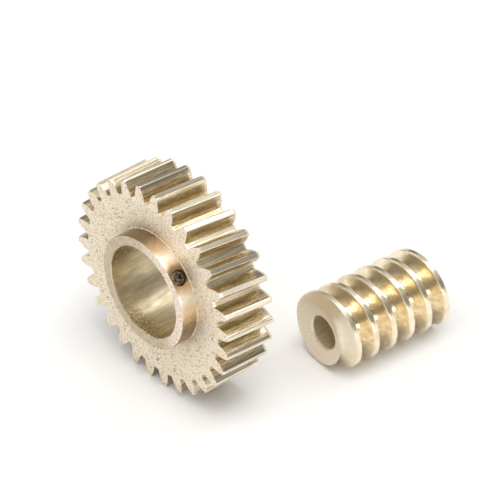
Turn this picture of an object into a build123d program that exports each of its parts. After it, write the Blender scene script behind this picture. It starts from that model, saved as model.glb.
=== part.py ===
from build123d import *
import os
from math import atan, cos, degrees, pi, radians, sin, sqrt, tan

# A worm gear set of module 0.5 and ratio 30:1: a worm wheel with a thin hub, a single-start worm,
# and the grub screw in the hub. The two gears lie side by side on one flat surface, apart, with
# nearly parallel axes. Millimetres and degrees. The origin is on the wheel's axis, in the middle
# plane of its teeth. The wheel's axis is Y, its hub faces -Y, and Z is up.

# Gear pair
MODULE = 0.5
PRESSURE_ANGLE = 20.0
WHEEL_TEETH = 30
WORM_PITCH_DIAMETER = 5.0
DEDENDUM_FACTOR = 1.25
TOOTH_THINNING = 0.03  # taken off each tooth for backlash

# Worm wheel
FACE_WIDTH = 4.0  # length of the teeth along the axis
WHEEL_BORE_RADIUS = 3.425
WHEEL_BORE_CHAMFER = 0.06
HUB_RADIUS = 4.22
HUB_RISE = 0.76  # the hub's end stands this far proud of the tooth ends
DISH_DEPTH = 0.52  # the face slopes back by this much from the tooth roots to the hub
TOOTH_PHASE = 2.63  # angle of a tooth tip from +X, towards +Z, at the hub side

# Tapped hole through the hub wall, and its grub screw (M1.2 x 0.25, both drawn plain at about the
# middle of the thread's depth)
SCREW_HOLE_RADIUS = 0.55
SCREW_HOLE_ANGLE = 42.0  # direction of the hole from +X, towards +Z
SCREW_CLEARANCE = 0.03
SCREW_LENGTH = 0.62
SCREW_RECESS = 0.12  # depth of the screw's outer end below the hub's surface
SCREW_POINT_CHAMFER = 0.12
SOCKET_ACROSS_FLATS = 0.5
SOCKET_DEPTH = 0.3

# Worm
WORM_LENGTH = 9.0
WORM_BORE_RADIUS = 1.25
WORM_BORE_CHAMFER = 0.12
CREST_ROUNDING = 0.16  # difference in height over which the crest blends into the flanks
ROOT_ROUNDING = 0.30  # the same at the root
THREAD_SAMPLES = 90  # points of one turn of the worm's cross-section
WORM_PHASE = -155.0  # angle of the crest from +X, towards +Z, at the worm's front end

# Where the worm lies beside the wheel
WORM_FRONT_X = 6.73
WORM_FRONT_Y = 7.69
WORM_TURN = 4.0  # its axis points this many degrees from +Y towards +X

# Derived sizes
PITCH = pi * MODULE
FLANK_SLOPE = tan(radians(PRESSURE_ANGLE))
WHEEL_PITCH_RADIUS = MODULE * WHEEL_TEETH / 2
WHEEL_TIP_RADIUS = WHEEL_PITCH_RADIUS + MODULE
WHEEL_ROOT_RADIUS = WHEEL_PITCH_RADIUS - DEDENDUM_FACTOR * MODULE
WHEEL_BASE_RADIUS = WHEEL_PITCH_RADIUS * cos(radians(PRESSURE_ANGLE))
TOOTH_THICKNESS = PITCH / 2 - TOOTH_THINNING
LEAD_ANGLE = degrees(atan(MODULE / WORM_PITCH_DIAMETER))
TWIST = degrees(FACE_WIDTH * tan(radians(LEAD_ANGLE)) / WHEEL_PITCH_RADIUS)
WORM_PITCH_RADIUS = WORM_PITCH_DIAMETER / 2
WORM_TIP_RADIUS = WORM_PITCH_RADIUS + MODULE
WORM_ROOT_RADIUS = WORM_PITCH_RADIUS - DEDENDUM_FACTOR * MODULE
FRONT = FACE_WIDTH / 2
HUB_END = FRONT + HUB_RISE
HUB_FOOT = FRONT - DISH_DEPTH
SCREW_RADIUS = SCREW_HOLE_RADIUS - SCREW_CLEARANCE
SCREW_HOLE_HEIGHT = (HUB_END + HUB_FOOT) / 2
OVERCUT = 1.0  # length by which a cutting solid passes the surface it cuts
HOLE_OVERCUT = 0.2  # the same for the screw hole, short enough to miss the dished face

# Turns a part built along +Z, hub or front end up, so that this end faces -Y
LAY_DOWN = Location((0, 0, 0), (90, 0, 0))


def polar(radius, angle):
    """A point at a radius and an angle in radians."""
    return (radius * cos(angle), radius * sin(angle))


def involute(radius):
    """The involute function at a radius of the wheel's flank, in radians."""
    slope = sqrt(max((radius / WHEEL_BASE_RADIUS) ** 2 - 1, 0))
    return slope - atan(slope)


def tooth_half_angle(radius):
    """Half of the tooth's thickness at a radius, as an angle in radians."""
    return TOOTH_THICKNESS / 2 / WHEEL_PITCH_RADIUS + involute(WHEEL_PITCH_RADIUS) - involute(radius)


def wheel_tooth_outline(centre):
    """One tooth from gullet to gullet: a bell of two involute flanks, rounded at tip and root."""
    half_pitch = pi / WHEEL_TEETH
    shoulder = WHEEL_TIP_RADIUS - 0.11 * MODULE
    low_flank = WHEEL_BASE_RADIUS
    flank = [
        (WHEEL_ROOT_RADIUS + 0.04 * MODULE, 0.80 * half_pitch),
        (low_flank, tooth_half_angle(low_flank) * 1.03),
        (WHEEL_PITCH_RADIUS, tooth_half_angle(WHEEL_PITCH_RADIUS)),
        (WHEEL_TIP_RADIUS - 0.4 * MODULE, tooth_half_angle(WHEEL_TIP_RADIUS - 0.4 * MODULE)),
        (shoulder, 0.78 * tooth_half_angle(shoulder)),
    ]
    right = [polar(WHEEL_ROOT_RADIUS, centre - half_pitch)]
    right += [polar(radius, centre - angle) for radius, angle in flank]
    left = [polar(radius, centre + angle) for radius, angle in reversed(flank)]
    left.append(polar(WHEEL_ROOT_RADIUS, centre + half_pitch))
    tip = [polar(WHEEL_TIP_RADIUS, centre)]
    along_start = polar(1, centre - half_pitch + pi / 2)
    along_end = polar(1, centre + half_pitch + pi / 2)
    return Edge.make_spline(
        [Vector(*point) for point in right + tip + left],
        tangents=[Vector(*along_start), Vector(*along_end)],
    )


def toothed_disc():
    """The helical teeth and the disc under them, twisted right-handed from back to front."""
    back_phase = radians(TOOTH_PHASE - TWIST)
    pitch_angle = 2 * pi / WHEEL_TEETH
    edges = [wheel_tooth_outline(back_phase + index * pitch_angle) for index in range(WHEEL_TEETH)]
    section = Pos(0, 0, -FRONT) * Face(Wire(edges))
    return Solid.extrude_linear_with_rotation(section, (0, 0, -FRONT), (0, 0, FACE_WIDTH), TWIST)


def ring_profile(points):
    """A solid of revolution about Z from (radius, height) points."""
    outline = Polyline(*[(radius, 0, height) for radius, height in points], close=True)
    return revolve(Face(Wire(outline.edges())), Axis.Z)


def chamfer_cutter(mouth, bore, end, inwards):
    """A cone that breaks a bore's edge at one end of a part; inwards is +1 or -1 along Z."""
    depth = (mouth - bore) * inwards
    return ring_profile([(0, end), (mouth, end), (bore, end + depth), (0, end + depth)])


def screw_hole_frame():
    """A frame where the hole's axis meets the hub's surface, with its Z along the hole, outwards."""
    angle = radians(SCREW_HOLE_ANGLE)
    mouth = (*polar(HUB_RADIUS, angle), SCREW_HOLE_HEIGHT)
    return Plane(mouth, x_dir=(0, 0, 1), z_dir=(*polar(1, angle), 0))


def hole_cutter():
    """A cylinder along the screw hole, from the bore to just outside the hub's surface."""
    inside = HUB_RADIUS
    middle = (HOLE_OVERCUT - inside) / 2
    return screw_hole_frame() * Pos(0, 0, middle) * Cylinder(SCREW_HOLE_RADIUS, inside + HOLE_OVERCUT)


def build_wheel():
    """The worm wheel: teeth, dished face, thin hub, bore, and the hole for the grub screw."""
    dish_edge = WHEEL_ROOT_RADIUS - 0.1 * MODULE
    dish = ring_profile([(HUB_RADIUS, HUB_FOOT), (dish_edge, FRONT), (HUB_RADIUS, FRONT + OVERCUT)])
    hub = ring_profile(
        [(WHEEL_BORE_RADIUS, 0), (HUB_RADIUS, 0), (HUB_RADIUS, HUB_END), (WHEEL_BORE_RADIUS, HUB_END)]
    )
    wheel = toothed_disc() - dish + hub
    wheel -= Pos(0, 0, HUB_RISE / 2) * Cylinder(WHEEL_BORE_RADIUS, FACE_WIDTH + HUB_RISE + OVERCUT)
    mouth = WHEEL_BORE_RADIUS + WHEEL_BORE_CHAMFER
    for end, inwards in ((HUB_END, -1), (-FRONT, 1)):
        wheel -= chamfer_cutter(mouth, WHEEL_BORE_RADIUS, end, inwards)
    return wheel - hole_cutter()


def build_screw():
    """The grub screw at rest: a short stud with a hexagon socket outside and a blunt point inside."""
    outer_end = -SCREW_RECESS
    inner_end = outer_end - SCREW_LENGTH
    point_radius = SCREW_RADIUS - SCREW_POINT_CHAMFER
    stud = ring_profile(
        [
            (0, inner_end),
            (point_radius, inner_end),
            (SCREW_RADIUS, inner_end + SCREW_POINT_CHAMFER),
            (SCREW_RADIUS, outer_end),
            (0, outer_end),
        ]
    )
    socket_radius = SOCKET_ACROSS_FLATS / 2 / cos(pi / 6)
    socket = extrude(RegularPolygon(socket_radius, 6), SOCKET_DEPTH + OVERCUT)
    return screw_hole_frame() * (stud - Pos(0, 0, outer_end - SOCKET_DEPTH) * socket)


def smooth_min(first, second, width):
    """The lower of two heights, rounded where they cross."""
    overlap = max(width - abs(first - second), 0) / width
    return min(first, second) - overlap**2 * width / 4


def thread_radius(turn):
    """The worm's radius at an axial distance from the crest's middle, given as a part of a turn."""
    distance = abs(turn - round(turn)) * PITCH
    flank = WORM_PITCH_RADIUS + (TOOTH_THICKNESS / 2 - distance) / FLANK_SLOPE
    below_tip = smooth_min(flank, WORM_TIP_RADIUS, CREST_ROUNDING)
    return -smooth_min(-below_tip, -WORM_ROOT_RADIUS, ROOT_ROUNDING)


def build_worm():
    """The single-start, right-handed worm, front end up, with its through bore."""
    turns = [index / THREAD_SAMPLES for index in range(THREAD_SAMPLES)]
    points = [Vector(*polar(thread_radius(turn), 2 * pi * turn)) for turn in turns]
    section = Face(Wire([Edge.make_spline(points, periodic=True)]))
    rotation = 360 * WORM_LENGTH / PITCH
    thread = Solid.extrude_linear_with_rotation(section, (0, 0, 0), (0, 0, WORM_LENGTH), rotation)
    worm = thread - Pos(0, 0, WORM_LENGTH / 2) * Cylinder(WORM_BORE_RADIUS, WORM_LENGTH + OVERCUT)
    mouth = WORM_BORE_RADIUS + WORM_BORE_CHAMFER
    for end, inwards in ((0, 1), (WORM_LENGTH, -1)):
        worm -= chamfer_cutter(mouth, WORM_BORE_RADIUS, end, inwards)
    front_up = Pos(0, 0, -WORM_LENGTH) * worm
    return Rot(0, 0, WORM_PHASE - rotation) * front_up


def place_worm(worm, floor):
    """Lays the worm on the floor beside the wheel, front end towards -Y."""
    laid = Rot(0, 0, -WORM_TURN) * LAY_DOWN * worm
    return Pos(WORM_FRONT_X, WORM_FRONT_Y, floor + WORM_TIP_RADIUS) * laid


def main():
    wheel = LAY_DOWN * build_wheel()
    screw = LAY_DOWN * build_screw()
    floor = wheel.bounding_box().min.Z
    worm = place_worm(build_worm(), floor)
    os.makedirs("parts", exist_ok=True)
    for name, shape in (("worm_wheel", wheel), ("set_screw", screw), ("worm", worm)):
        solids = shape.solids()
        export_step(solids[0] if len(solids) == 1 else Compound(solids), f"parts/{name}.step")
        print(name, len(solids), "solid", round(shape.volume, 3), "mm3")
    print("floor", round(floor, 4), "worm axis height", round(floor + WORM_TIP_RADIUS, 4))
    print("screw hole height", round(SCREW_HOLE_HEIGHT, 4), "twist", round(TWIST, 4))


main()
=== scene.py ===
"""Looks of a small brass worm gear set: a worm wheel with its grub screw, and a worm beside it."""

import math

import bmesh
import bpy
import numpy as np
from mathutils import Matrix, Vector


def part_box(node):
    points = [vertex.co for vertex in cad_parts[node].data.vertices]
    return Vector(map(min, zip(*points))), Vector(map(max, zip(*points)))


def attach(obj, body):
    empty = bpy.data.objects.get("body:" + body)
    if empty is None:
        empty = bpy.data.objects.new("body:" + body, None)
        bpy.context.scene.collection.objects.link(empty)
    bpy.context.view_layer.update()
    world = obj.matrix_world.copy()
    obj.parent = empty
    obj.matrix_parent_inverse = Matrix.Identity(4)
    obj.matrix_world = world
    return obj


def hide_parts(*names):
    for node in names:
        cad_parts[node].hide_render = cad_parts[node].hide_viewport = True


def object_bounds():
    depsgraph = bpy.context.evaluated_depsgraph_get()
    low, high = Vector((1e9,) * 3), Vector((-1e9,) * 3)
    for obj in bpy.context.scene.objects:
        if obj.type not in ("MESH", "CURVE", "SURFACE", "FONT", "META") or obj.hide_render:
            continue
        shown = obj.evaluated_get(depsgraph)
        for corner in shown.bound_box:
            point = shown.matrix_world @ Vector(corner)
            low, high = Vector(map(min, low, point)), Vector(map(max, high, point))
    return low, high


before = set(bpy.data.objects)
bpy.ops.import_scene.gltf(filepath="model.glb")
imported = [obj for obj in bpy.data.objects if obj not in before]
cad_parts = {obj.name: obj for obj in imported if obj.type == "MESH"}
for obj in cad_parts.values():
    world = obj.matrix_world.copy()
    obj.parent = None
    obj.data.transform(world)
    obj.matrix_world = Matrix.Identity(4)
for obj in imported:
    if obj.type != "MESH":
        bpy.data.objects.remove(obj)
cad_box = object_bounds()

MM = 0.001

# Gear pair, as in the CAD model
MODULE = 0.5 * MM
PRESSURE_ANGLE = math.radians(20)
TEETH = 30
TOOTH_THINNING = 0.03 * MM
PITCH = math.pi * MODULE
TOOTH_THICKNESS = PITCH / 2 - TOOTH_THINNING
PITCH_RADIUS = MODULE * TEETH / 2
TIP_RADIUS = PITCH_RADIUS + MODULE
ROOT_RADIUS = PITCH_RADIUS - 1.25 * MODULE
BASE_RADIUS = PITCH_RADIUS * math.cos(PRESSURE_ANGLE)

# Wheel, as in the CAD model: the hub faces -Y
FACE_WIDTH = 4.0 * MM
FRONT_Y = -FACE_WIDTH / 2
BACK_Y = FACE_WIDTH / 2
HUB_Y = -2.76 * MM
HUB_RADIUS = 4.22 * MM
HUB_FOOT_Y = -1.48 * MM
BORE_RADIUS = 3.425 * MM
BORE_CHAMFER = 0.06 * MM
DISH_EDGE_RADIUS = 6.825 * MM
TOOTH_PHASE = math.radians(2.63)
LEAD_SLOPE = 0.1  # tangent of the worm's lead angle, and of the teeth's helix angle
TWIST = FACE_WIDTH * LEAD_SLOPE / PITCH_RADIUS
PALE_BACK_LENGTH = 0.15 * MM  # length of the paler back end of the teeth, partly a painted highlight
HOLE_ANGLE = math.radians(42)
HOLE_RADIUS = 0.55 * MM
HOLE_Y = -2.12 * MM
SCREW_PITCH = 0.25 * MM  # of the fine thread in the hole and on the screw

# Worm, as in the CAD model
WORM_PITCH_RADIUS = 2.5 * MM
WORM_TIP = WORM_PITCH_RADIUS + MODULE
WORM_ROOT = WORM_PITCH_RADIUS - 1.25 * MODULE
WORM_LENGTH = 9.0 * MM
WORM_BORE = 1.25 * MM
WORM_BORE_CHAMFER = 0.12 * MM
WORM_PHASE = math.radians(-155)
WORM_TURN = math.radians(4)
WORM_FRONT = (6.73 * MM, 7.69 * MM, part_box("worm_wheel")[0].z + WORM_TIP)

# Roundings, each as the difference in height over which two surfaces blend
TOOTH_TIP_ROUNDING = 0.08 * MODULE
TOOTH_ROOT_ROUNDING = 0.30 * MODULE
THREAD_CREST_ROUNDING = 0.16 * MM
THREAD_ROOT_ROUNDING = 0.60 * MM

# Fineness of the meshes
CURVE_SAMPLES = 1201
FLANK_SAMPLES = 300
COLUMNS_PER_TOOTH = 44
TOOTH_LAYERS = 14
WHEEL_BORE_RINGS = 14
THREAD_COLUMNS = 150
THREAD_ROW_STEP = math.radians(5)
WORM_BORE_RINGS = 30

# Angles between faces, in degrees, above which an edge looks sharp
WHEEL_CREASE = 38
SCREW_CREASE = 40
WORM_CREASE = 35


def smooth_min(first, second, width):
    """The lower of two numbers or arrays, rounded where they cross."""
    overlap = np.maximum(width - np.abs(first - second), 0) / width
    return np.minimum(first, second) - overlap**2 * width / 4


def smooth_max(first, second, width):
    """The higher of two numbers or arrays, rounded where they cross."""
    return -smooth_min(-first, -second, width)


# ---------------------------------------------------------------- mesh helpers


class Loft:
    """A surface built ring by ring. Every ring has the same number of points."""

    def __init__(self):
        self.rings = []
        self.bands = []

    def ring(self, points, material=0):
        """Adds a ring; the band between it and the ring before takes the material."""
        self.rings.append(np.asarray(points, float))
        self.bands.append(material)

    def band(self, start):
        """The quads between one ring and the next one, which after the last ring is the first."""
        count = len(self.rings[0])
        column = np.arange(count)
        after = (column + 1) % count
        here = start * count
        there = (start + 1) % len(self.rings) * count
        return np.stack([here + column, here + after, there + after, there + column], axis=1).tolist()

    def mesh(self, name, materials, capped=False):
        """The mesh: a closed torus-like one, or one with flat caps on its first and last rings."""
        count = len(self.rings[0])
        total = len(self.rings)
        faces, slots = [], []
        for start in range(total - 1 if capped else total):
            faces += self.band(start)
            slots += [self.bands[(start + 1) % total]] * count
        if capped:
            last = (total - 1) * count
            faces += [list(range(count))[::-1], list(range(last, last + count))]
            slots += [self.bands[0], self.bands[-1]]
        mesh = bpy.data.meshes.new(name)
        mesh.from_pydata(np.concatenate(self.rings).tolist(), [], faces)
        for material in materials:
            mesh.materials.append(material)
        mesh.polygons.foreach_set("material_index", slots)
        mesh.polygons.foreach_set("use_smooth", [True] * len(mesh.polygons))
        mesh.update()
        return mesh


def signed_volume(mesh):
    """The volume inside a closed mesh, below 0 if its faces point inwards."""
    corners = np.empty(len(mesh.vertices) * 3)
    mesh.vertices.foreach_get("co", corners)
    corners = corners.reshape(-1, 3)
    mesh.calc_loop_triangles()
    triangles = np.empty(len(mesh.loop_triangles) * 3, int)
    mesh.loop_triangles.foreach_get("vertices", triangles)
    first, second, third = (corners[triangles.reshape(-1, 3)[:, index]] for index in range(3))
    return float(np.einsum("ij,ij->", first, np.cross(second, third))) / 6


def add_object(name, mesh, crease_angle):
    """An object with its faces outwards, and with sharp edges where faces meet above an angle in degrees."""
    if signed_volume(mesh) < 0:
        mesh.flip_normals()
    mesh.set_sharp_from_angle(angle=math.radians(crease_angle))
    piece = bpy.data.objects.new(name, mesh)
    bpy.context.scene.collection.objects.link(piece)
    return piece


def wheel_points(radii, angles, y):
    """Points about the wheel's axis, at angles from +X towards +Z."""
    radii = np.broadcast_to(radii, angles.shape)
    heights = np.broadcast_to(y, angles.shape)
    return np.stack([radii * np.cos(angles), heights, radii * np.sin(angles)], axis=1)


def even_steps(angles, radii, count):
    """The same curve of radius against angle, at a number of points evenly spaced along it."""
    steps = np.hypot(np.diff(radii), radii[1:] * np.diff(angles))
    length = np.concatenate([[0], np.cumsum(steps)])
    wanted = np.linspace(0, length[-1], count, endpoint=False)
    return np.interp(wanted, length, angles), np.interp(wanted, length, radii)


# ---------------------------------------------------------------- worm wheel


def involute(radius):
    """The involute function at a radius of the tooth's flank, in radians."""
    slope = np.sqrt(np.maximum((radius / BASE_RADIUS) ** 2 - 1, 0))
    return slope - np.arctan(slope)


def tooth_outline():
    """Angles and radii of one tooth, centred on angle 0, from gullet to gullet."""
    half_pitch = math.pi / TEETH
    foot_share = 0.30  # how far the flank's foot reaches into the gullet below the involute
    angles = np.linspace(-half_pitch, half_pitch, CURVE_SAMPLES)
    flank_radii = np.linspace(BASE_RADIUS, TIP_RADIUS + 1.5 * MODULE, FLANK_SAMPLES)
    half_angles = TOOTH_THICKNESS / 2 / PITCH_RADIUS + involute(PITCH_RADIUS) - involute(flank_radii)
    foot_angle = half_angles[0] + (half_pitch - half_angles[0]) * foot_share
    table_angles = np.concatenate([half_angles[::-1], [foot_angle]])
    table_radii = np.concatenate([flank_radii[::-1], [ROOT_RADIUS - 0.3 * MODULE]])
    flank = np.interp(np.abs(angles), table_angles, table_radii)
    rounded = smooth_min(flank, TIP_RADIUS, TOOTH_TIP_ROUNDING)
    rounded = smooth_max(rounded, ROOT_RADIUS, TOOTH_ROOT_ROUNDING)
    return even_steps(angles, rounded, COLUMNS_PER_TOOTH)


def wheel_outline():
    """Angles and radii of all the teeth, at the wheel's hub side."""
    angles, radii = tooth_outline()
    step = 2 * math.pi / TEETH
    all_angles = np.concatenate([angles + index * step for index in range(TEETH)])
    return all_angles + TOOTH_PHASE, np.tile(radii, TEETH)


def twist_at(y):
    """How far the teeth are turned at a height, against their hub side."""
    return -TWIST * (np.clip(y, FRONT_Y, BACK_Y) - FRONT_Y) / FACE_WIDTH


FACE, FLANK, HUB_SIDE, HUB_RING, BORE, TOOTH_END = range(6)


def wheel_mesh(materials):
    """The whole wheel as one closed surface, from the back, over the teeth and the hub, to the bore."""
    angles, outline = wheel_outline()
    tooth_edge = 0.035 * MM
    dish_edge = 0.03 * MM
    hub_edge = 0.025 * MM
    hub_fillet = 0.06 * MM
    chamfer_rim = 0.02 * MM
    loft = Loft()

    def add(radii, y, material):
        loft.ring(wheel_points(radii, angles + twist_at(y), y), material)

    def arc(centre_radius, centre_y, size, start, end, material, steps=4):
        """A rounded edge: angles are from outwards (0) towards the hub's end (90)."""
        for turn in np.radians(np.linspace(start, end, steps + 1)):
            add(centre_radius + size * math.cos(turn), centre_y - size * math.sin(turn), material)

    inset = outline - tooth_edge
    add(inset, BACK_Y, FACE)
    add(outline - 0.3 * tooth_edge, BACK_Y - 0.3 * tooth_edge, TOOTH_END)
    add(outline, BACK_Y - tooth_edge, TOOTH_END)
    add(outline, BACK_Y - PALE_BACK_LENGTH, TOOTH_END)
    for y in np.linspace(BACK_Y - PALE_BACK_LENGTH, FRONT_Y + tooth_edge, TOOTH_LAYERS + 1)[1:]:
        add(outline, y, FLANK)
    add(outline - 0.3 * tooth_edge, FRONT_Y + 0.3 * tooth_edge, FLANK)
    add(inset, FRONT_Y, FACE)
    add(DISH_EDGE_RADIUS, FRONT_Y, FACE)
    foot_radius = HUB_RADIUS + hub_fillet
    slope = (FRONT_Y - HUB_FOOT_Y) / (DISH_EDGE_RADIUS - HUB_RADIUS)
    for radius in np.linspace(DISH_EDGE_RADIUS - dish_edge, foot_radius, 6):
        add(radius, HUB_FOOT_Y + slope * (radius - HUB_RADIUS), FACE)
    arc(foot_radius, HUB_FOOT_Y - hub_fillet, hub_fillet, 250, 180, FACE)
    for y in np.linspace(HUB_FOOT_Y - 2 * hub_fillet, HUB_Y + hub_edge, 6)[:-1]:
        add(HUB_RADIUS, y, HUB_SIDE)
    arc(HUB_RADIUS - hub_edge, HUB_Y + hub_edge, hub_edge, 0, 90, HUB_SIDE)
    add(BORE_RADIUS + BORE_CHAMFER + chamfer_rim, HUB_Y, HUB_RING)
    add(BORE_RADIUS + BORE_CHAMFER, HUB_Y, HUB_RING)
    for y in np.linspace(HUB_Y + BORE_CHAMFER, BACK_Y - BORE_CHAMFER, WHEEL_BORE_RINGS):
        add(BORE_RADIUS, y, BORE)
    add(BORE_RADIUS + BORE_CHAMFER, BACK_Y, BORE)
    add(ROOT_RADIUS - 0.1 * MODULE, BACK_Y, FACE)
    return loft.mesh("worm_wheel_body", materials)


def screw_points(radii, angles, distance):
    """Points about the screw hole's axis, at a distance from the wheel's axis."""
    outwards = np.array([math.cos(HOLE_ANGLE), 0, math.sin(HOLE_ANGLE)])
    along = np.array([0, 1, 0])
    across = np.cross(outwards, along)
    radii = np.broadcast_to(radii, angles.shape)
    circle = np.outer(radii * np.cos(angles), along) + np.outer(radii * np.sin(angles), across)
    return outwards * distance + along * HOLE_Y + circle


def screw_wave(angles, distance):
    """A triangle wave from 0 to 1 that follows the fine thread."""
    phase = distance / SCREW_PITCH - angles / (2 * math.pi)
    return np.abs((phase % 1) * 2 - 1)


def hole_cutter(materials):
    """A threaded rod along the screw hole, from inside the bore to just outside the hub."""
    angles = np.linspace(0, 2 * math.pi, 64, endpoint=False)
    start = 2.2 * MM
    end = 4.42 * MM
    rings_per_turn = 8
    thread_depth = 0.045 * MM
    loft = Loft()
    for distance in np.arange(start, end, SCREW_PITCH / rings_per_turn):
        radii = HOLE_RADIUS + thread_depth * screw_wave(angles, distance)
        loft.ring(screw_points(radii, angles, distance), BORE)
    return add_object("hole_cutter", loft.mesh("hole_cutter", materials, capped=True), WHEEL_CREASE)


def drop_folds(mesh):
    """Splits a mesh into triangles, and drops each pair of them that lies folded shut along a cut."""
    edit = bmesh.new()
    edit.from_mesh(mesh)
    bmesh.ops.triangulate(edit, faces=edit.faces)
    tips = [vertex for vertex in edit.verts if len(vertex.link_faces) == 2]
    bmesh.ops.delete(edit, geom=tips, context="VERTS")
    edit.to_mesh(mesh)
    edit.free()


def drill(piece, cutter):
    """Takes the cutter out of a piece for good, and removes it."""
    cut = piece.modifiers.new("hole", "BOOLEAN")
    cut.object = cutter
    cut.solver = "EXACT"
    depsgraph = bpy.context.evaluated_depsgraph_get()
    drilled = bpy.data.meshes.new_from_object(piece.evaluated_get(depsgraph))
    piece.modifiers.clear()
    drop_folds(drilled)
    piece.data = drilled
    bpy.data.objects.remove(cutter)


def build_wheel(materials):
    wheel = add_object("brass_worm_wheel", wheel_mesh(materials), WHEEL_CREASE)
    drill(wheel, hole_cutter(materials))
    wheel.data.set_sharp_from_angle(angle=math.radians(WHEEL_CREASE))
    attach(wheel, "wheel")
    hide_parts("worm_wheel")


# ---------------------------------------------------------------- grub screw


def build_screw(materials):
    """A short stud with a fine thread, a hexagon socket outside and a blunt point inside."""
    angles = np.linspace(0, 2 * math.pi, 96, endpoint=False)
    outer_end = 4.04 * MM
    inner_end = 3.48 * MM
    crest = 0.515 * MM
    thread_depth = 0.06 * MM
    rings_per_turn = 10
    outer_bevel = 0.04 * MM
    outer_face = crest - 0.07 * MM
    point_length = 0.12 * MM
    point_face = crest - 0.12 * MM
    point_cap = 0.10 * MM
    socket_depth = 0.3 * MM
    socket_floor = 0.06 * MM
    socket_chamfer = 0.03 * MM
    half_across_flats = 0.25 * MM
    sixth = math.pi / 3
    hexagon = half_across_flats / np.cos((angles + sixth / 2) % sixth - sixth / 2)
    loft = Loft()

    def add(radii, distance):
        loft.ring(screw_points(radii, angles, distance))

    add(hexagon * 0.35, outer_end - socket_depth - socket_floor)
    add(hexagon, outer_end - socket_depth)
    add(hexagon, outer_end - socket_chamfer)
    add(hexagon + socket_chamfer, outer_end)
    add(outer_face, outer_end)
    step = SCREW_PITCH / rings_per_turn
    for distance in np.arange(outer_end - outer_bevel, inner_end + point_length, -step):
        add(crest - thread_depth * screw_wave(angles, distance), distance)
    add(point_face, inner_end)
    add(point_cap, inner_end)
    screw = add_object("grub_screw", loft.mesh("grub_screw", materials, capped=True), SCREW_CREASE)
    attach(screw, "screw")
    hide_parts("set_screw")


# ---------------------------------------------------------------- worm

THREAD, THREAD_END, WORM_HOLE = range(3)


def thread_profile():
    """Angles from the crest and radii of one turn of the worm's cross-section."""
    turns = np.linspace(-0.5, 0.5, CURVE_SAMPLES)
    distance = np.abs(turns) * PITCH
    flank = WORM_PITCH_RADIUS + (TOOTH_THICKNESS / 2 - distance) / math.tan(PRESSURE_ANGLE)
    below_tip = smooth_min(flank, WORM_TIP, THREAD_CREST_ROUNDING)
    radii = smooth_max(below_tip, WORM_ROOT, THREAD_ROOT_ROUNDING)
    steps = np.hypot(np.diff(radii), np.diff(turns) * PITCH)
    length = np.concatenate([[0], np.cumsum(steps)])
    wanted = np.linspace(0, length[-1], THREAD_COLUMNS, endpoint=False)
    return np.interp(wanted, length, turns) * 2 * math.pi, np.interp(wanted, length, radii)


def worm_points(radii, angles, depth):
    """Points at a depth behind the worm's front end, laid beside the wheel."""
    local = wheel_points(radii, angles, depth)
    cosine, sine = math.cos(WORM_TURN), math.sin(WORM_TURN)
    x = local[:, 0] * cosine + local[:, 1] * sine
    y = local[:, 1] * cosine - local[:, 0] * sine
    return np.stack([x, y, local[:, 2]], axis=1) + np.array(WORM_FRONT)


def build_worm(materials):
    """One closed surface whose columns follow the thread, so that the crest stays crisp."""
    angles, outline = thread_profile()
    edge = 0.03 * MM
    loft = Loft()

    def turn_at(depth):
        return WORM_PHASE - 2 * math.pi * depth / PITCH

    def add(radii, depth, material, turn=None):
        turn = turn_at(depth) if turn is None else turn
        loft.ring(worm_points(radii, angles + turn, depth), material)

    mouth = WORM_BORE + WORM_BORE_CHAMFER
    first_turn = turn_at(0)
    add(mouth, 0, THREAD_END, first_turn)
    add(outline - edge, 0, THREAD_END, first_turn)
    rows = int(2 * math.pi * WORM_LENGTH / PITCH / THREAD_ROW_STEP)
    for depth in np.linspace(edge, WORM_LENGTH - edge, rows):
        add(outline, depth, THREAD)
    last_turn = turn_at(WORM_LENGTH)
    add(outline - edge, WORM_LENGTH, THREAD_END, last_turn)
    add(mouth, WORM_LENGTH, THREAD_END, last_turn)
    turns_apart = (last_turn - first_turn + math.pi) % (2 * math.pi) - math.pi
    for share in np.linspace(1, 0, WORM_BORE_RINGS):
        depth = WORM_BORE_CHAMFER + share * (WORM_LENGTH - 2 * WORM_BORE_CHAMFER)
        add(WORM_BORE, depth, WORM_HOLE, first_turn + share * turns_apart)
    worm = add_object("brass_worm", loft.mesh("brass_worm", materials), WORM_CREASE)
    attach(worm, "worm")
    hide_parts("worm")


# ---------------------------------------------------------------- materials


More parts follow.
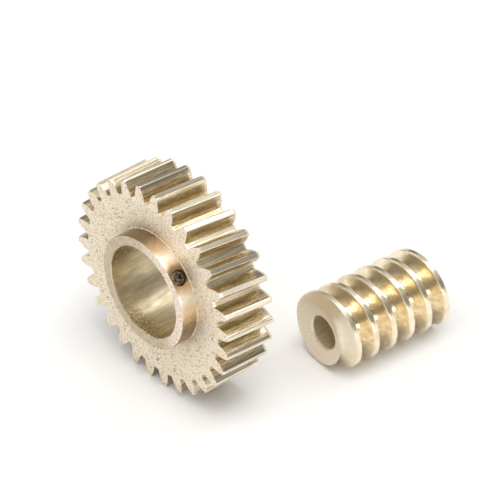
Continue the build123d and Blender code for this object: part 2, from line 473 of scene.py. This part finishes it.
class Shader:
    """A node material with short ways to add nodes and to link them to a Principled shader."""

    def __init__(self, name, roughness, metallic=1.0):
        self.material = bpy.data.materials.new(name)
        self.material.use_nodes = True
        self.tree = self.material.node_tree
        self.principled = self.tree.nodes["Principled BSDF"]
        self.principled.inputs["Metallic"].default_value = metallic
        self.principled.inputs["Roughness"].default_value = roughness
        self.position = self.add("ShaderNodeTexCoord").outputs["Object"]

    def add(self, kind, **values):
        """Adds a node. A value goes to a property of that name, or else to the input of that name."""
        node = self.tree.nodes.new(kind)
        for name, value in values.items():
            if hasattr(node, name):
                setattr(node, name, value)
            else:
                socket = node.inputs[name.replace("_", " ").capitalize()]
                if isinstance(value, bpy.types.NodeSocket):
                    self.tree.links.new(value, socket)
                else:
                    socket.default_value = value
        return node

    def link(self, source, socket):
        self.tree.links.new(source, socket)

    def noise(self, size, detail=2.0, stretch=(1, 1, 1), vector=None):
        """Noise whose features are about one size, in metres, divided by the stretch on each axis."""
        mapping = self.add("ShaderNodeMapping")
        mapping.inputs["Scale"].default_value = [factor / size for factor in stretch]
        self.link(vector or self.position, mapping.inputs["Vector"])
        noise = self.add("ShaderNodeTexNoise", detail=detail)
        noise.inputs["Scale"].default_value = 1.0
        self.link(mapping.outputs["Vector"], noise.inputs["Vector"])
        return noise.outputs["Fac"]

    def ramp(self, factor, stops):
        """A colour ramp from (place, colour) pairs; a colour may be one grey level."""
        node = self.add("ShaderNodeValToRGB")
        elements = node.color_ramp.elements
        while len(elements) < len(stops):
            elements.new(0.5)
        for element, (place, colour) in zip(elements, stops):
            element.position = place
            element.color = (*(colour if isinstance(colour, tuple) else (colour,) * 3), 1)
        self.link(factor, node.inputs["Fac"])
        return node.outputs["Color"]

    def mix(self, factor, first, second):
        """Mixes two colours, each given as a socket or as a tuple; the factor is a socket or a number."""
        node = self.add("ShaderNodeMix", data_type="RGBA")
        for socket, value in ((node.inputs[0], factor), (node.inputs[6], first), (node.inputs[7], second)):
            if isinstance(value, bpy.types.NodeSocket):
                self.link(value, socket)
            elif isinstance(value, tuple):
                socket.default_value = (*value, 1)
            else:
                socket.default_value = value
        return node.outputs[2]

    def math(self, operation, first, second=0.0, third=None):
        """The result of a Math node; each value is a socket or a number."""
        node = self.add("ShaderNodeMath", operation=operation)
        for socket, value in zip(node.inputs, (first, second, third)):
            if isinstance(value, bpy.types.NodeSocket):
                self.link(value, socket)
            elif value is not None:
                socket.default_value = value
        return node.outputs[0]

    def between(self, value, low, high):
        """0 where a value is at one end of a range or beyond, 1 at its other end, smooth between."""
        node = self.add("ShaderNodeMapRange", interpolation_type="SMOOTHSTEP")
        self.link(value, node.inputs["Value"])
        node.inputs["From Min"].default_value = low
        node.inputs["From Max"].default_value = high
        return node.outputs["Result"]

    def axis_distance(self, vector=None):
        """Distance from the Y axis of the position or of another vector."""
        flat = self.add("ShaderNodeVectorMath", operation="MULTIPLY")
        self.link(vector or self.position, flat.inputs[0])
        flat.inputs[1].default_value = (1, 0, 1)
        length = self.add("ShaderNodeVectorMath", operation="LENGTH")
        self.link(flat.outputs["Vector"], length.inputs[0])
        return length.outputs["Value"]

    def coordinate(self, axis, vector=None):
        """One coordinate of the position or of another vector."""
        node = self.add("ShaderNodeSeparateXYZ")
        self.link(vector or self.position, node.inputs[0])
        return node.outputs[axis]

    def worm_position(self):
        """The position as seen from the worm's front end, with Y along the worm."""
        mapping = self.add("ShaderNodeMapping", vector_type="TEXTURE")
        mapping.inputs["Location"].default_value = WORM_FRONT
        mapping.inputs["Rotation"].default_value = (0, 0, -WORM_TURN)
        self.link(self.position, mapping.inputs["Vector"])
        return mapping.outputs["Vector"]

    def finish(self, colour, roughness=None, height=None, depth=0.0, strength=1.0):
        """Colour, roughness and a bump whose height of 1 stands a depth in metres above 0."""
        self.link(colour, self.principled.inputs["Base Color"])
        if roughness is not None:
            self.link(roughness, self.principled.inputs["Roughness"])
        if height is not None:
            bump = self.add("ShaderNodeBump")
            bump.inputs["Strength"].default_value = strength
            bump.inputs["Distance"].default_value = depth
            self.link(height, bump.inputs["Height"])
            self.link(bump.outputs["Normal"], self.principled.inputs["Normal"])
        return self.material


def sandy_face():
    """Pinkish beige, blasted-looking face with a fine grain and small dark pits."""
    shader = Shader("sandy_brass_face", 0.6, metallic=0.75)
    grain = shader.noise(0.11 * MM, 3.0)
    fine = shader.noise(0.05 * MM, 2.0)
    blotches = shader.noise(0.9 * MM, 2.0)
    stops = [(0.30, (0.48, 0.36, 0.22)), (0.46, (0.80, 0.69, 0.53)), (0.64, (0.97, 0.90, 0.78))]
    colour = shader.ramp(grain, stops)
    colour = shader.mix(shader.ramp(blotches, [(0.35, 0.0), (0.65, 0.35)]), colour, (0.92, 0.83, 0.70))
    pits = shader.ramp(shader.noise(0.2 * MM, 2.0), [(0.30, 1.0), (0.37, 0.0)])
    colour = shader.mix(pits, colour, (0.30, 0.22, 0.14))
    height = shader.math("ADD", grain, shader.math("MULTIPLY", fine, 0.4))
    roughness = shader.ramp(fine, [(0.3, 0.45), (0.7, 0.70)])
    return shader.finish(colour, roughness, height, 0.05 * MM, 0.8)


def streaky_flank():
    """Bright, golden tooth flanks with fine streaks along the cut, and a painted shade line below a painted
    highlight on the tip.
    """
    shader = Shader("streaky_tooth_flanks", 0.28)
    streaks = shader.noise(0.09 * MM, 3.0, stretch=(1, 0.03, 1))
    fine = shader.noise(0.03 * MM, 2.0, stretch=(1, 0.02, 1))
    stops = [(0.30, (0.38, 0.30, 0.18)), (0.50, (0.66, 0.56, 0.39)), (0.70, (0.88, 0.81, 0.64))]
    colour = shader.ramp(streaks, stops)
    roughness = shader.ramp(streaks, [(0.3, 0.34), (0.7, 0.20)])
    height = shader.math("ADD", streaks, shader.math("MULTIPLY", fine, 0.3))
    radius = shader.axis_distance()
    # Painted highlight along the tooth tips, and a thin painted shade line just below it.
    below_tip = shader.between(radius, TIP_RADIUS - 0.24 * MM, TIP_RADIUS - 0.14 * MM)
    tip_highlight = shader.between(radius, TIP_RADIUS - 0.12 * MM, TIP_RADIUS - 0.04 * MM)
    tip_shade_line = shader.math("SUBTRACT", below_tip, tip_highlight)
    colour = shader.mix(shader.math("MULTIPLY", tip_shade_line, 0.55), colour, (0.26, 0.19, 0.11))
    colour = shader.mix(shader.math("MULTIPLY", tip_highlight, 0.45), colour, (0.95, 0.89, 0.76))
    return shader.finish(colour, roughness, height, 0.007 * MM, 0.5)


def polished_hub():
    """Turned hub wall: bright, with painted highlights and painted shade in bands at some angles, painted
    shade round the hole, darker speckles towards its top and bottom, and fine rings.
    """
    shader = Shader("polished_hub", 0.34)
    shader.principled.inputs["Anisotropic"].default_value = 0.8
    shader.principled.inputs["Anisotropic Rotation"].default_value = 0.25
    tangent = shader.add("ShaderNodeTangent", direction_type="RADIAL", axis="Y")
    shader.link(tangent.outputs["Tangent"], shader.principled.inputs["Tangent"])
    rings = shader.noise(0.06 * MM, 2.0, stretch=(0.05, 1, 0.05))
    stain = shader.noise(0.35 * MM, 3.0)
    angle = shader.math("ARCTAN2", shader.coordinate("Z"), shader.coordinate("X"))
    wander = shader.math("MULTIPLY_ADD", stain, 0.25, -0.125)
    angle = shader.math("ADD", angle, wander)
    # Painted highlights and painted shade: cream bands at about 21 and 64 degrees, brown between and beyond
    # them, by angle round the hub wall.
    brown, orange, cream = (0.38, 0.29, 0.18), (0.88, 0.66, 0.42), (1.0, 0.97, 0.87)
    painted_sheen_bands = [(-12, brown), (4, orange), (21, cream), (34, orange), (46, brown), (54, orange)]
    painted_sheen_bands += [(64, cream), (76, orange), (94, brown)]
    place = shader.add("ShaderNodeMapRange")
    shader.link(angle, place.inputs["Value"])
    place.inputs["From Min"].default_value = -math.pi
    place.inputs["From Max"].default_value = math.pi
    stops = [((degrees + 180) / 360, colour) for degrees, colour in painted_sheen_bands]
    colour = shader.ramp(place.outputs["Result"], stops)
    grain = shader.ramp(shader.noise(0.09 * MM, 3.0), [(0.40, 1.0), (0.60, 0.0)])
    # Painted shade: a dark ring round the mouth of the screw hole, centred a little above it.
    hole_shade_angle = HOLE_ANGLE + 0.05
    hole_shade_middle = (HUB_RADIUS * math.cos(hole_shade_angle), HOLE_Y, HUB_RADIUS * math.sin(hole_shade_angle))
    hole = shader.add("ShaderNodeVectorMath", operation="DISTANCE")
    shader.link(shader.position, hole.inputs[0])
    hole.inputs[1].default_value = hole_shade_middle
    hole_shade = shader.between(hole.outputs["Value"], 0.95 * MM, 0.55 * MM)
    colour = shader.mix(shader.math("MULTIPLY", hole_shade, 0.75), colour, (0.24, 0.16, 0.09))
    # Darker, speckled bands on the hub wall towards its top and bottom, away from the hole.
    level = shader.math("ABSOLUTE", shader.math("SUBTRACT", angle, HOLE_ANGLE))
    mottle = shader.math("MULTIPLY", grain, shader.between(level, math.radians(38), math.radians(52)))
    colour = shader.mix(shader.math("MULTIPLY", mottle, 0.85), colour, (0.22, 0.15, 0.09))
    return shader.finish(colour, None, rings, 0.010 * MM, 0.6)


def hub_ring():
    """The hub's end: smooth greige, rougher and pinkish towards +X."""
    shader = Shader("hub_end_ring", 0.4, metallic=0.85)
    grain = shader.noise(0.09 * MM, 3.0)
    smooth = shader.noise(0.35 * MM, 3.0)
    greige = shader.ramp(smooth, [(0.35, (0.45, 0.36, 0.25)), (0.65, (0.60, 0.50, 0.37))])
    pinkish = shader.ramp(grain, [(0.30, (0.58, 0.44, 0.34)), (0.58, (0.94, 0.83, 0.72))])
    side = shader.math("ADD", shader.coordinate("X"), shader.math("MULTIPLY", shader.coordinate("Z"), 0.35))
    side = shader.between(side, 0.5 * MM, 3.0 * MM)
    colour = shader.mix(side, greige, pinkish)
    roughness = shader.mix(side, (0.38, 0.38, 0.38), (0.55, 0.55, 0.55))
    height = shader.math("MULTIPLY", grain, side)
    return shader.finish(colour, roughness, height, 0.03 * MM, 0.6)


def bore_wall():
    """Reamed bore: soft reflections, with rough dark patches near its mouth."""
    shader = Shader("bore_wall", 0.3)
    streaks = shader.noise(0.30 * MM, 3.0, stretch=(1, 0.25, 1))
    colour = shader.ramp(streaks, [(0.30, (0.56, 0.46, 0.29)), (0.70, (0.74, 0.65, 0.47))])
    rough = shader.ramp(shader.noise(0.14 * MM, 4.0), [(0.42, 0.0), (0.56, 0.9)])
    depth = shader.coordinate("Y")
    height = shader.coordinate("Z")
    upper = shader.between(height, -0.1 * MM, 0.9 * MM)
    upper = shader.math("MULTIPLY", upper, shader.between(depth, 0.2 * MM, -1.2 * MM))
    lower = shader.between(height, -2.3 * MM, -3.1 * MM)
    lower = shader.math("MULTIPLY", lower, shader.between(depth, -0.9 * MM, -2.3 * MM))
    patches = shader.math("MULTIPLY", rough, shader.math("ADD", upper, lower))
    colour = shader.mix(patches, colour, (0.33, 0.24, 0.13))
    roughness = shader.ramp(streaks, [(0.3, 0.42), (0.7, 0.32)])
    return shader.finish(colour, roughness, streaks, 0.01 * MM, 0.4)


def tooth_end():
    """Paler back end of the teeth: a rougher, less metallic finish, painted lighter as a highlight along the
    tooth ends.
    """
    shader = Shader("tooth_back_edge", 0.5, metallic=0.6)
    grain = shader.noise(0.08 * MM, 2.0)
    # Painted highlight: the pale colour of this band.
    colour = shader.ramp(grain, [(0.3, (0.72, 0.60, 0.42)), (0.7, (0.94, 0.86, 0.70))])
    return shader.finish(colour, None, grain, 0.02 * MM, 0.5)


def worm_thread():
    """Polished thread with faint lines along the helix, painted shade in spots in its roots and a satin
    first turn.
    """
    shader = Shader("worm_thread", 0.14)
    local = shader.worm_position()
    lines = shader.noise(0.05 * MM, 2.0, stretch=(0.06, 1, 0.06), vector=local)
    stain = shader.noise(0.45 * MM, 3.0, vector=local)
    depth = shader.axis_distance(local)
    root = shader.between(depth, WORM_ROOT + 0.35 * MM, WORM_ROOT)
    colour = shader.ramp(stain, [(0.35, (0.83, 0.70, 0.48)), (0.65, (0.97, 0.88, 0.70))])
    # Painted shade: dark spots, only in the thread's roots.
    root_shade_spots = shader.ramp(shader.noise(0.16 * MM, 3.0, vector=local), [(0.56, 0.0), (0.66, 1.0)])
    colour = shader.mix(shader.math("MULTIPLY", root_shade_spots, root), colour, (0.26, 0.17, 0.08))
    faced = shader.between(shader.coordinate("Y", local), 1.0 * MM, 0.5 * MM)
    colour = shader.mix(shader.math("MULTIPLY", faced, 0.8), colour, (0.80, 0.70, 0.55))
    roughness = shader.ramp(stain, [(0.35, 0.24), (0.65, 0.14)])
    roughness = shader.mix(faced, roughness, (0.38, 0.38, 0.38))
    return shader.finish(colour, roughness, lines, 0.006 * MM, 0.5)


def worm_end():
    """Faced end of the worm: satin greige with faint turning rings."""
    shader = Shader("worm_end_face", 0.36, metallic=0.9)
    local = shader.worm_position()
    depth = shader.axis_distance(local)
    along = shader.add("ShaderNodeCombineXYZ")
    shader.link(shader.math("MULTIPLY", depth, 1 / (0.05 * MM)), along.inputs["X"])
    rings = shader.add("ShaderNodeTexNoise", detail=2.0)
    rings.inputs["Scale"].default_value = 1.0
    shader.link(along.outputs["Vector"], rings.inputs["Vector"])
    grain = shader.noise(0.12 * MM, 3.0, vector=local)
    colour = shader.ramp(grain, [(0.3, (0.66, 0.56, 0.42)), (0.7, (0.88, 0.79, 0.64))])
    height = shader.math("ADD", rings.outputs["Fac"], shader.math("MULTIPLY", grain, 0.4))
    return shader.finish(colour, None, height, 0.012 * MM, 0.5)


def worm_hole():
    """Satin bore of the worm, with faint streaks along it."""
    shader = Shader("worm_bore_wall", 0.4, metallic=0.75)
    streaks = shader.noise(0.12 * MM, 2.0, stretch=(1, 0.2, 1))
    colour = shader.ramp(streaks, [(0.3, (0.76, 0.64, 0.42)), (0.7, (0.94, 0.84, 0.62))])
    return shader.finish(colour, None, streaks, 0.01 * MM, 0.4)


def dark_steel():
    """Dark, worn steel of the grub screw."""
    shader = Shader("dark_screw_steel", 0.32)
    mottle = shader.noise(0.12 * MM, 3.0)
    colour = shader.ramp(mottle, [(0.40, (0.10, 0.08, 0.06)), (0.66, (0.42, 0.35, 0.26))])
    roughness = shader.ramp(mottle, [(0.4, 0.30), (0.7, 0.45)])
    return shader.finish(colour, roughness, mottle, 0.01 * MM, 0.4)


# ---------------------------------------------------------------- studio

CAMERA_AZIMUTH = math.radians(48.938)
CAMERA_ELEVATION = math.radians(37.614)
CAMERA_LENS = 216.0
CAMERA_DISTANCE = 203.40 * MM
AIM_RIGHT = 6.678 * MM
AIM_UP = 2.580 * MM
CLIP_START = 10 * MM
LIGHT_DISTANCE = 300 * MM
LIGHT_TARGET = Vector((3 * MM, 4 * MM, 0))
FLOOR_HALF_SIDE = 1500 * MM


def view_axes(azimuth, elevation):
    """Unit vectors to the right, up and back from where a camera looks."""
    cos_a, sin_a = math.cos(azimuth), math.sin(azimuth)
    back = Vector((sin_a * math.cos(elevation), -cos_a * math.cos(elevation), math.sin(elevation)))
    right = Vector((cos_a, sin_a, 0))
    return right, back.cross(right), back


def add_camera():
    """The scene's camera, which looks at the hub side of the wheel from above and from its right."""
    right, up, back = view_axes(CAMERA_AZIMUTH, CAMERA_ELEVATION)
    target = Vector((0, FRONT_Y, 0)) + right * AIM_RIGHT + up * AIM_UP
    data = bpy.data.cameras.new("camera")
    data.lens = CAMERA_LENS
    data.clip_start = CLIP_START
    camera = bpy.data.objects.new("camera", data)
    camera.location = target + back * CAMERA_DISTANCE
    camera.rotation_euler = back.to_track_quat("Z", "Y").to_euler()
    bpy.context.scene.collection.objects.link(camera)
    bpy.context.scene.camera = camera


def add_light(name, azimuth, elevation, size, power):
    """A rectangular area light that looks at the middle of the set from a direction in degrees."""
    _, _, back = view_axes(math.radians(azimuth), math.radians(elevation))
    data = bpy.data.lights.new(name, "AREA")
    data.shape = "RECTANGLE"
    data.size, data.size_y = size
    data.energy = power
    light = bpy.data.objects.new(name, data)
    light.location = LIGHT_TARGET + back * LIGHT_DISTANCE
    light.rotation_euler = back.to_track_quat("Z", "Y").to_euler()
    bpy.context.scene.collection.objects.link(light)


def add_floor():
    """A plain pale floor under the lowest point of the CAD model."""
    side = FLOOR_HALF_SIDE
    bottom = cad_box[0][2]
    corners = [(-side, -side, bottom), (side, -side, bottom), (side, side, bottom), (-side, side, bottom)]
    mesh = bpy.data.meshes.new("floor")
    mesh.from_pydata(corners, [], [(0, 1, 2, 3)])
    shader = Shader("floor", 0.9, metallic=0.0)
    colour = shader.ramp(shader.noise(5 * MM), [(0.0, 0.93), (1.0, 0.95)])
    mesh.materials.append(shader.finish(colour))
    floor = bpy.data.objects.new("floor", mesh)
    bpy.context.scene.collection.objects.link(floor)


def add_world():
    """A white horizon, darker walls above it and a light ceiling, for the brass to mirror."""
    world = bpy.data.worlds.new("world")
    world.use_nodes = True
    tree = world.node_tree
    direction = tree.nodes.new("ShaderNodeTexCoord")
    separate = tree.nodes.new("ShaderNodeSeparateXYZ")
    ramp = tree.nodes.new("ShaderNodeValToRGB")
    tree.links.new(direction.outputs["Generated"], separate.inputs[0])
    tree.links.new(separate.outputs["Z"], ramp.inputs["Fac"])
    stops = [(0.0, 1.0), (0.08, 0.95), (0.20, 0.28), (0.50, 0.28), (0.70, 0.55), (1.0, 1.0)]
    while len(ramp.color_ramp.elements) < len(stops):
        ramp.color_ramp.elements.new(0.5)
    for element, (height, grey) in zip(ramp.color_ramp.elements, stops):
        element.position = height
        element.color = (grey, 0.98 * grey, 0.95 * grey, 1)
    tree.links.new(ramp.outputs["Color"], tree.nodes["Background"].inputs["Color"])
    tree.nodes["Background"].inputs["Strength"].default_value = 1.0
    bpy.context.scene.world = world


def add_lights():
    """Five soft lights round the set."""
    add_light("overhead", 77, 77, (0.15, 0.15), 0.28)
    add_light("key", 20, 55, (0.24, 0.24), 0.25)
    add_light("top_back", 164, 57, (0.11, 0.11), 0.08)
    add_light("right", 96, 5, (0.16, 0.07), 0.12)
    add_light("left_fill", -50, 30, (0.15, 0.20), 0.12)


build_wheel([sandy_face(), streaky_flank(), polished_hub(), hub_ring(), bore_wall(), tooth_end()])
build_screw([dark_steel()])
build_worm([worm_thread(), worm_end(), worm_hole()])
add_floor()
add_world()
add_lights()
add_camera()
bpy.context.scene.view_settings.view_transform = "Standard"
